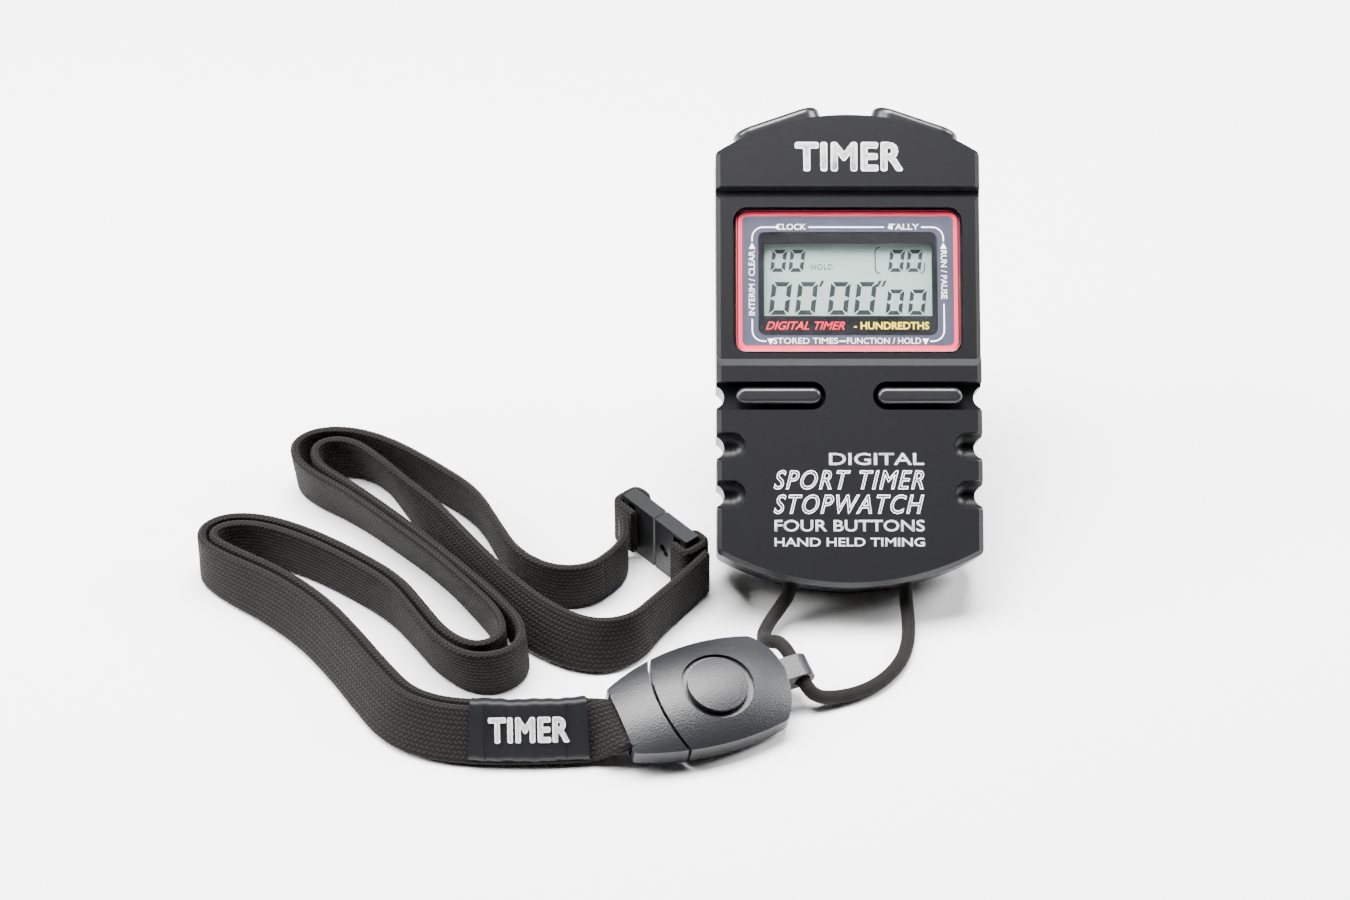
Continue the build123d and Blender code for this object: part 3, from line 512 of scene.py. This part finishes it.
lettering(
    "lcd_word", "HOLD", 2.0, (-6.0, 20.3), LCD_TOP, LCD_TOP + LCD_INK, lcd_ink,
    spacing=1.2, span=5.0,
)

# White print on the case --------------------------------------------------------------------------

TOP_FACE, LOWER_FACE = 18.7, 19.0
lettering(
    "title_print", "TIMER", 9.2, (0.3, 45.7), TOP_FACE, TOP_FACE + 0.04, print_white,
    bold=0.75, spacing=1.08, span=24.8,
)
PLAIN_LINES = [
    ("foot_line_1", "DIGITAL", 3.9, -26.1, 22.0, 0.12),
    ("foot_line_4", "FOUR BUTTONS", 3.7, -41.7, 34.8, 0.12),
    ("foot_line_5", "HAND HELD TIMING", 2.8, -45.5, 34.8, 0.1),
]
for name, text, size, y, span, bold in PLAIN_LINES:
    lettering(
        name, text, size, (17.2, y), LOWER_FACE, LOWER_FACE + 0.04, print_white,
        align="RIGHT", span=span, bold=bold,
    )
for name, text, y in (("foot_line_2", "SPORT TIMER", -31.1), ("foot_line_3", "STOPWATCH", -36.8)):
    lettering(
        name, text, 6.2, (17.2, y), LOWER_FACE - 0.02, LOWER_FACE + 0.05, print_white,
        align="RIGHT", slant=0.3, outline=0.017, spacing=1.16, span=35.0,
    )

# Lanyard ------------------------------------------------------------------------------------------


def smooth_line(points, resolution=24):
    """Points along the NURBS spline of a route, in the route's own units."""
    curve = bpy.data.curves.new("route", "CURVE")
    curve.dimensions = "3D"
    spline = curve.splines.new("NURBS")
    spline.points.add(len(points) - 1)
    for point, place_at in zip(spline.points, points):
        point.co = (*place_at, 1)
    spline.order_u = 3
    spline.use_endpoint_u = True
    spline.resolution_u = resolution
    source = bpy.data.objects.new("route", curve)
    bpy.context.scene.collection.objects.link(source)
    bpy.context.view_layer.update()
    mesh = bpy.data.meshes.new_from_object(source.evaluated_get(bpy.context.evaluated_depsgraph_get()))
    line = np.array([v.co for v in mesh.vertices], float).reshape(-1, 3)
    bpy.data.objects.remove(source)
    bpy.data.meshes.remove(mesh)
    return line


def even(line, step, columns=3):
    """The same line with points a step apart, measured over its first columns."""
    gaps = np.linalg.norm(np.diff(line[:, :columns], axis=0), axis=1)
    run = np.concatenate(((0,), np.cumsum(gaps)))
    count = max(int(round(run[-1] / step)), 2)
    s = np.linspace(0, run[-1], count + 1)
    return np.column_stack([np.interp(s, run, line[:, i]) for i in range(line.shape[1])]), s


def unit(v):
    return v / np.linalg.norm(v, axis=-1, keepdims=True)


def section(width, thick, count, edge=0.9):
    """A flat braid's outline, in mm: points across, through, and the way round, from the top."""
    loop = np.array(round_loop(width, thick, min(edge, thick / 2 - 0.02), (0, 0), 6))
    closed = np.vstack((loop, loop[:1]))
    points, s = even(closed, 0.01, 2)
    total = s[-1]
    want = np.linspace(0, total, count + 1)
    points = np.column_stack([np.interp(want, s, points[:, i]) for i in (0, 1)])
    return points[:-1], want


def tube_faces(rings, count):
    """Four-sided faces of an open tube: its points run ring by ring, with count points in each."""
    ids = np.arange(rings * count).reshape(rings, count)
    turned = np.roll(ids, -1, 1)
    quads = np.stack((ids[:-1], ids[1:], turned[1:], turned[:-1]), -1).reshape(-1, 4)
    return [tuple(q) for q in quads.tolist()]


def braided(name, centres, up, side, mat, body, width=BRAID_WIDTH, thick=BRAID_THICK, columns=26, per=3,
            column=COLUMN, pitch=PITCH, relief=0.13, s=None):
    """A flat braid swept along stations in mm. Its yarn columns and floats stand proud."""
    count = columns * per
    loop, round_way = section(width, thick, count)
    around = round_way / round_way[-1] * columns
    normal = np.roll(loop, -1, 0) - np.roll(loop, 1, 0)
    normal = unit(np.column_stack((normal[:, 1], -normal[:, 0])))
    if s is None:
        s = np.concatenate(((0,), np.cumsum(np.linalg.norm(np.diff(centres, axis=0), axis=1))))
    a = around[:-1]
    x = a - np.floor(a) - 0.5
    odd = np.floor(a) % 2
    phase = s[:, None] / pitch + (odd * 2 - 1) * x * SLANT + odd * 0.5
    float_height = np.abs(np.cos(pi * phase)) ** 0.6 * (1 - np.abs(2 * x) ** 2.5)
    lift = relief * (float_height - 0.6)
    across = loop[:, 0] + normal[:, 0] * lift
    through = loop[:, 1] + normal[:, 1] * lift
    verts = centres[:, None, :] + across[..., None] * up[:, None, :] + through[..., None] * side[:, None, :]
    n = len(centres)
    faces = tube_faces(n, count)
    faces.append(tuple(range(count)))
    faces.append(tuple(range(n * count - 1, (n - 1) * count - 1, -1)))
    piece = add_mesh(name, verts.reshape(-1, 3) * MM, faces, mat, body, smooth=True)
    layer = piece.data.uv_layers.new(name="weave")
    u_low, u_high = around[:-1] * column, around[1:] * column
    uv = np.zeros((n - 1, count, 4, 2))
    uv[..., 0, 0] = uv[..., 1, 0] = u_low
    uv[..., 2, 0] = uv[..., 3, 0] = u_high
    uv[..., 0, 1] = uv[..., 3, 1] = s[:-1, None]
    uv[..., 1, 1] = uv[..., 2, 1] = s[1:, None]
    flat = uv.reshape(-1)
    data = np.zeros(len(piece.data.loops) * 2)
    data[: len(flat)] = flat
    layer.data.foreach_set("uv", data.astype(np.float32))
    return piece


def standing(route, step=0.35, width=BRAID_WIDTH, thick=BRAID_THICK, lift=FLOOR_CLEARANCE):
    """Stations of a braid on edge. Its route is x, y and the lean of its top edge to the left."""
    line = smooth_line([(x, y, lean) for x, y, lean in route])
    line, s = even(line, step, 2)
    plan, lean = line[:, :2], np.radians(line[:, 2])
    tangent = unit(np.gradient(plan, axis=0))
    left = np.column_stack((-tangent[:, 1], tangent[:, 0], np.zeros(len(plan))))
    z = width / 2 * np.cos(lean) + thick / 2 * np.abs(np.sin(lean)) + lift + FLOOR_Z
    up = np.column_stack((left[:, :2] * np.sin(lean)[:, None], np.cos(lean)))
    forward = np.column_stack((tangent, np.zeros(len(plan))))
    side = np.cross(up, forward)
    return np.column_stack((plan, z)), up, side, s


# Each ply's route: x, y in mm, and the lean of its top edge to the left of its way, in degrees.
OUTER_PLY = [
    (-60, -94.2, -36), (-74, -95.1, -36), (-89, -94.6, -36), (-97.5, -92.6, -34),
    (-104.5, -88.6, -30), (-110.5, -80.4, -26), (-117.5, -70, -24), (-125.5, -59.6, -24),
    (-136, -50.4, -20), (-147, -43.6, -12), (-153.2, -38, -4), (-153.4, -32, 0),
    (-147.5, -28, 0), (-138, -28.8, 0), (-126.5, -34.2, 0), (-115, -42, 0),
    (-105, -50.2, 0), (-98.5, -59.6, -4), (-92.5, -68.6, -6), (-85.5, -72.8, -4),
    (-79.8, -69, 0), (-81, -61.4, 4), (-88, -51.4, 10), (-97, -40, 14),
    (-108, -29, 14), (-119.5, -18, 12), (-131, -10, 8), (-135, -2.4, 4),
    (-130.8, 3.6, 0), (-121.5, 4.8, -4), (-110.5, 0.4, -6), (-98.5, -9.2, -6),
    (-88.5, -18.4, -6), (-83, -30.4, -4), (-78.2, -40.6, -2), (-70, -46.8, 0),
    (-61, -46.6, 0), (-58.1, -43.64, 0),
]
OUTER_PLY_END = [(-58.1, -43.64, 0), (-54.32, -39.78, 0), (-52.5, -34.4, 0), (-53.4, -28.9, 0)]
INNER_PLY = [
    (-60, -91.9, -36), (-74, -92.8, -36), (-89, -92.3, -36), (-96.6, -90.5, -34),
    (-102.7, -86.8, -30), (-108.5, -78.9, -26), (-115.5, -68.5, -24), (-123.6, -57.9, -24),
    (-134.4, -48.3, -20), (-145.2, -41.4, -12), (-150.4, -36.8, -4), (-150.6, -33.4, 0),
    (-146.6, -30.7, 0), (-138.8, -31.3, 0), (-127.7, -36.5, 0), (-116.6, -44.1, 0),
    (-107, -52, 0), (-100.6, -61.4, -4), (-94.6, -70.6, -6), (-86.4, -76.4, -4),
    (-77, -74.2, 0), (-74.8, -66, 4), (-81.2, -55.6, 10), (-91.2, -43, 16),
    (-103.6, -29.2, 18), (-117.4, -16, 16), (-127.4, -8.6, 10), (-129.4, -3, 4),
    (-126.2, 0.6, 0), (-119.6, 0.4, -8), (-112.6, -5.2, -14), (-106.4, -14.2, -4),
    (-98.8, -24.6, 12), (-91.4, -36.4, 22), (-82.4, -48.6, 24), (-72.2, -60.2, 34),
    (-60.4, -67, 30), (-50.4, -65.2, 14), (-44.6, -56.4, 2), (-38.4, -48.4, 0),
    (-33.4, -41.4, 0),
]


def ply(name, route, body):
    centres, up, side, s = standing(route)
    piece = braided(name, centres, up, side, strap_braid, body, s=s)
    return piece, centres, s[-1]


outer, outer_line, outer_length = ply("braid_outer_ply", OUTER_PLY, "strap_side")
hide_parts("strap_outer_ply")
inner, inner_line, inner_length = ply("braid_inner_ply", INNER_PLY, "strap_side")
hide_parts("strap_inner_ply")
end_line, end_up, end_side, end_s = standing(OUTER_PLY_END)
outer_end = braided(
    "braid_outer_ply_end", end_line, end_up, end_side, strap_braid, None, s=end_s
)
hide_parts("strap_outer_ply_end")
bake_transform(outer_end)
print("ply lengths", round(outer_length + end_s[-1], 1), round(inner_length, 1))

# The folds round the clip's bars: each ply turns through its slot and is sewn to itself.


def fold(name, side, body, node, front):
    """The braid turned round one of the clip's bars. Its free end stops at front, in mm."""
    route = [
        (side * 7.9, -0.6), (side * 7.9, 3.2), (side * 10.4, 3.5), (side * 12.7, 3.1),
        (side * 12.8, 0), (side * 12.7, -3.1), (side * 10.4, -3.3), (side * front, -3.2),
    ]
    line, s = even(smooth_line([(x, y, 0) for x, y in route]), 0.3, 2)
    plan = line[:, :2]
    tangent = unit(np.gradient(plan, axis=0))
    n = len(plan)
    rotate = np.array(CLIP, float)[:3, :3]
    forward = np.column_stack((tangent, np.zeros(n))) @ rotate.T
    up = np.tile((0.0, 0.0, 1.0), (n, 1))
    centres = place(CLIP, np.column_stack((plan, np.full(n, 7.6)))) / MM
    side = np.cross(up, forward)
    piece = braided(name, centres, up, side, strap_braid, body, s=s, thick=1.9)
    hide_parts(node)
    return piece


plug_fold = fold("braid_plug_fold", -1, "plug_side", "strap_fold_plug", 6.0)
socket_fold = fold("braid_socket_fold", 1, "strap_side", "strap_fold_socket", 8.2)

# From the label both plies turn flat and go into the buckle's mouth, one on the other.
start_up = np.array((0, sin(LABEL_LEAN), cos(LABEL_LEAN)))
lying = np.array(BUCKLE, float)
mouth_up = lying[:3, 1]
for layer, (name, y_start) in enumerate((("sewn_end_front", -94.2), ("sewn_end_back", -91.9))):
    offset = 1.02 if layer == 0 else -1.02
    depth = -0.85 + offset * 0.8
    mouth = place(BUCKLE, [(-21.4, 0, depth), (-19.0, 0, depth), (-15.2, 0, depth)]) / MM
    z0 = BRAID_WIDTH / 2 * cos(LABEL_LEAN) + BRAID_THICK / 2 * sin(LABEL_LEAN) + FLOOR_CLEARANCE + FLOOR_Z
    halfway = (-57.5, (y_start + mouth[0][1]) / 2, (z0 + mouth[0][2]) / 2)
    route = [(-63.5, y_start - 0.1, z0), (-60.5, y_start, z0), halfway, *map(tuple, mouth)]
    line, s = even(smooth_line(route), 0.35)
    t = np.clip((s - 2.0) / (s[-1] - 6.5), 0, 1)
    t = t * t * (3 - 2 * t)
    forward = unit(np.gradient(line, axis=0))
    up = unit(start_up * (1 - t[:, None]) + mouth_up * t[:, None])
    side = unit(np.cross(up, forward))
    up = np.cross(forward, side)
    braided(name, line, up, side, strap_braid, "strap_side", s=s, thick=1.9, width=12.8)
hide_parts("strap_sewn_end")

# Label: a satin sleeve round both plies.
LABEL_ROUTE = [
    (-60.2, -93.06, -36), (-66, -93.6, -36), (-74, -93.95, -36), (-80, -93.9, -36), (-86.3, -93.55, -36),
]
label_line, label_up, label_side, label_s = standing(LABEL_ROUTE, 0.4, 13.2, 5.0, 0.05)
loop = np.array(round_loop(13.7, 5.0, 1.4, (0, 0), 6))
count, n = len(loop), len(label_line)
ripple = 1 + 0.012 * np.sin(label_s * 1.7)[:, None] + 0.012 * np.sin(label_s * 0.6 + 1)[:, None]
verts = (
    label_line[:, None, :]
    + (loop[:, 0] * ripple)[..., None] * label_up[:, None, :]
    + (loop[:, 1] * ripple)[..., None] * label_side[:, None, :]
)
label = add_mesh(
    "label_sleeve", verts.reshape(-1, 3) * MM, tube_faces(n, count), satin,
    "strap_side", True,
)
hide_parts("strap_label")

# The label's print and its two stitch rows.
middle = len(label_line) // 2
LABEL_FACE = Matrix.Identity(4)
for i in range(3):
    LABEL_FACE[i][0] = -float(unit(np.gradient(label_line, axis=0))[middle][i])
    LABEL_FACE[i][1] = float(label_up[middle][i])
    LABEL_FACE[i][2] = float(label_side[middle][i])
    LABEL_FACE[i][3] = float(label_line[middle][i])
FACE_OUT = 2.62
lettering(
    "label_print", "TIMER", 7.6, (0.2, 0.1), FACE_OUT, FACE_OUT + 0.06, print_white, body="strap_side",
    matrix=LABEL_FACE, width=0.78, bold=0.6, spacing=1.1,
)
stitches = []
for row in (-9.6, 8.6):
    for k in range(9):
        y = -5.6 + 1.4 * k
        low_x, high_x = row - 0.14, row + 0.14
        stitches.append([(low_x, y - 0.5), (high_x, y - 0.5), (high_x, y + 0.5), (low_x, y + 0.5)])
prisms(
    "label_stitches", stitches, FACE_OUT - 0.1, FACE_OUT + 0.05, thread,
    "strap_side", LABEL_FACE,
)

# Elastic cord -------------------------------------------------------------------------------------

ELASTIC_ROUTE = [
    (-13.2, -42.0, 11.0), (-13.2, -47.2, 6.2), (-16.6, -52.2, 4.2), (-19.4, -57.0, 3.6),
    (-20.6, -62.0, 4.4), (-19.6, -66.8, 8.0), (-16.0, -68.9, 9.8), (-11.6, -79.2, 6.8),
    (-8.8, -80.4, 3.6), (-3.8, -78.8, 1.9), (1.4, -77.0, 1.7), (6.5, -73.6, 1.7),
    (10.8, -68.2, 1.7), (13.2, -61.9, 1.8), (13.9, -55.4, 2.6), (13.2, -47.2, 6.2),
    (13.2, -42.0, 11.0),
]
elastic_line, elastic_s = even(smooth_line([(x, y, h + FLOOR_Z) for x, y, h in ELASTIC_ROUTE]), 0.17)
n = len(elastic_line)
forward = unit(np.gradient(elastic_line, axis=0))
normals = np.zeros((n, 3))
normals[0] = unit(np.cross(forward[0], (0, 0, 1.0)))
for i in range(1, n):
    carried = normals[i - 1] - forward[i] * np.dot(normals[i - 1], forward[i])
    normals[i] = carried / np.linalg.norm(carried)
binormals = np.cross(forward, normals)
COLUMNS, PER = 18, 4
count = COLUMNS * PER
angles = np.arange(count) / count * 2 * pi
a = np.arange(count) / PER
x = a - np.floor(a) - 0.5
odd = np.floor(a) % 2
phase = elastic_s[:, None] / CORD_PITCH + (odd * 2 - 1) * x * SLANT + odd * 0.5
radius = 1.54 + 0.07 * (np.abs(np.cos(pi * phase)) ** 0.6 * (1 - np.abs(2 * x) ** 2.5))
verts = (
    elastic_line[:, None, :]
    + (radius * np.cos(angles))[..., None] * normals[:, None, :]
    + (radius * np.sin(angles))[..., None] * binormals[:, None, :]
)
ids = np.arange(n * count).reshape(n, count)
quads = np.stack((ids[:-1], np.roll(ids, -1, 1)[:-1], np.roll(ids, -1, 1)[1:], ids[1:]), -1).reshape(-1, 4)
faces = [tuple(q) for q in quads.tolist()] + [tuple(ids[0][::-1].tolist()), tuple(ids[-1].tolist())]
elastic = add_mesh("elastic_braid", verts.reshape(-1, 3) * MM, faces, cord_braid, "case", True)
layer = elastic.data.uv_layers.new(name="weave")
uv = np.zeros((n - 1, count, 4, 2))
uv[..., 0, 0] = uv[..., 3, 0] = a * CORD_COLUMN
uv[..., 1, 0] = uv[..., 2, 0] = (a + 1 / PER) * CORD_COLUMN
uv[..., 0, 1] = uv[..., 1, 1] = elastic_s[:-1, None]
uv[..., 2, 1] = uv[..., 3, 1] = elastic_s[1:, None]
data = np.zeros(len(elastic.data.loops) * 2)
data[: uv.size] = uv.reshape(-1)
layer.data.foreach_set("uv", data.astype(np.float32))
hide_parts("elastic_cord")
print("elastic length", round(elastic_s[-1], 1))

# Floor, lights and camera -------------------------------------------------------------------------

floor_mesh = bpy.data.meshes.new("studio_floor")
HALF_FLOOR = 3.0
corners = [(-1, -1), (1, -1), (1, 1), (-1, 1)]
corners = [(x * HALF_FLOOR, y * HALF_FLOOR, FLOOR_Z * MM) for x, y in corners]
floor_mesh.from_pydata(corners, [], [(0, 1, 2, 3)])
floor = bpy.data.objects.new("studio_floor", floor_mesh)
floor_mesh.materials.append(material("paper", (0.9, 0.9, 0.9), 0.8, specular=0.1))
bpy.context.scene.collection.objects.link(floor)

# Bright overhead and behind, darker toward the viewer's side.
world = bpy.data.worlds.new("studio")
world.use_nodes = True
tree = world.node_tree
coords = tree.nodes.new("ShaderNodeTexCoord")
direction = tree.nodes.new("ShaderNodeSeparateXYZ")
tree.links.new(coords.outputs["Generated"], direction.inputs[0])
toward = math_node(tree, "MULTIPLY", direction.outputs["Y"], 0.9)
height = math_node(tree, "MULTIPLY", direction.outputs["Z"], 0.5)
glow = math_node(tree, "ADD", math_node(tree, "ADD", toward, height), 0.36)
glow = math_node(tree, "MAXIMUM", glow, 0.12)
tree.links.new(glow, tree.nodes["Background"].inputs["Strength"])
bpy.context.scene.world = world


def lamp(name, at, target, size, power):
    light = bpy.data.lights.new(name, "AREA")
    light.shape = "RECTANGLE"
    light.size, light.size_y = size
    light.energy = power
    thing = bpy.data.objects.new(name, light)
    thing.location = at
    thing.rotation_euler = (Vector(target) - Vector(at)).to_track_quat("-Z", "Y").to_euler()
    bpy.context.scene.collection.objects.link(thing)


lamp("top_softbox", (-0.1, 0.14, 0.85), (-0.03, -0.03, 0), (0.8, 0.4), 52)
lamp("left_softbox", (-0.7, 0.0, 0.45), (-0.05, -0.05, 0), (0.35, 0.5), 15)
lamp("right_softbox", (0.6, 0.15, 0.4), (0, -0.03, 0), (0.25, 0.4), 10)

camera = bpy.data.cameras.new("camera")
camera.lens, camera.sensor_width = 74, 36
camera_object = bpy.data.objects.new("camera", camera)
camera_object.location = (-0.0408, -0.5261, 0.4136)
camera_object.rotation_euler = (radians(50), 0, 0)
bpy.context.scene.collection.objects.link(camera_object)
bpy.context.scene.camera = camera_object
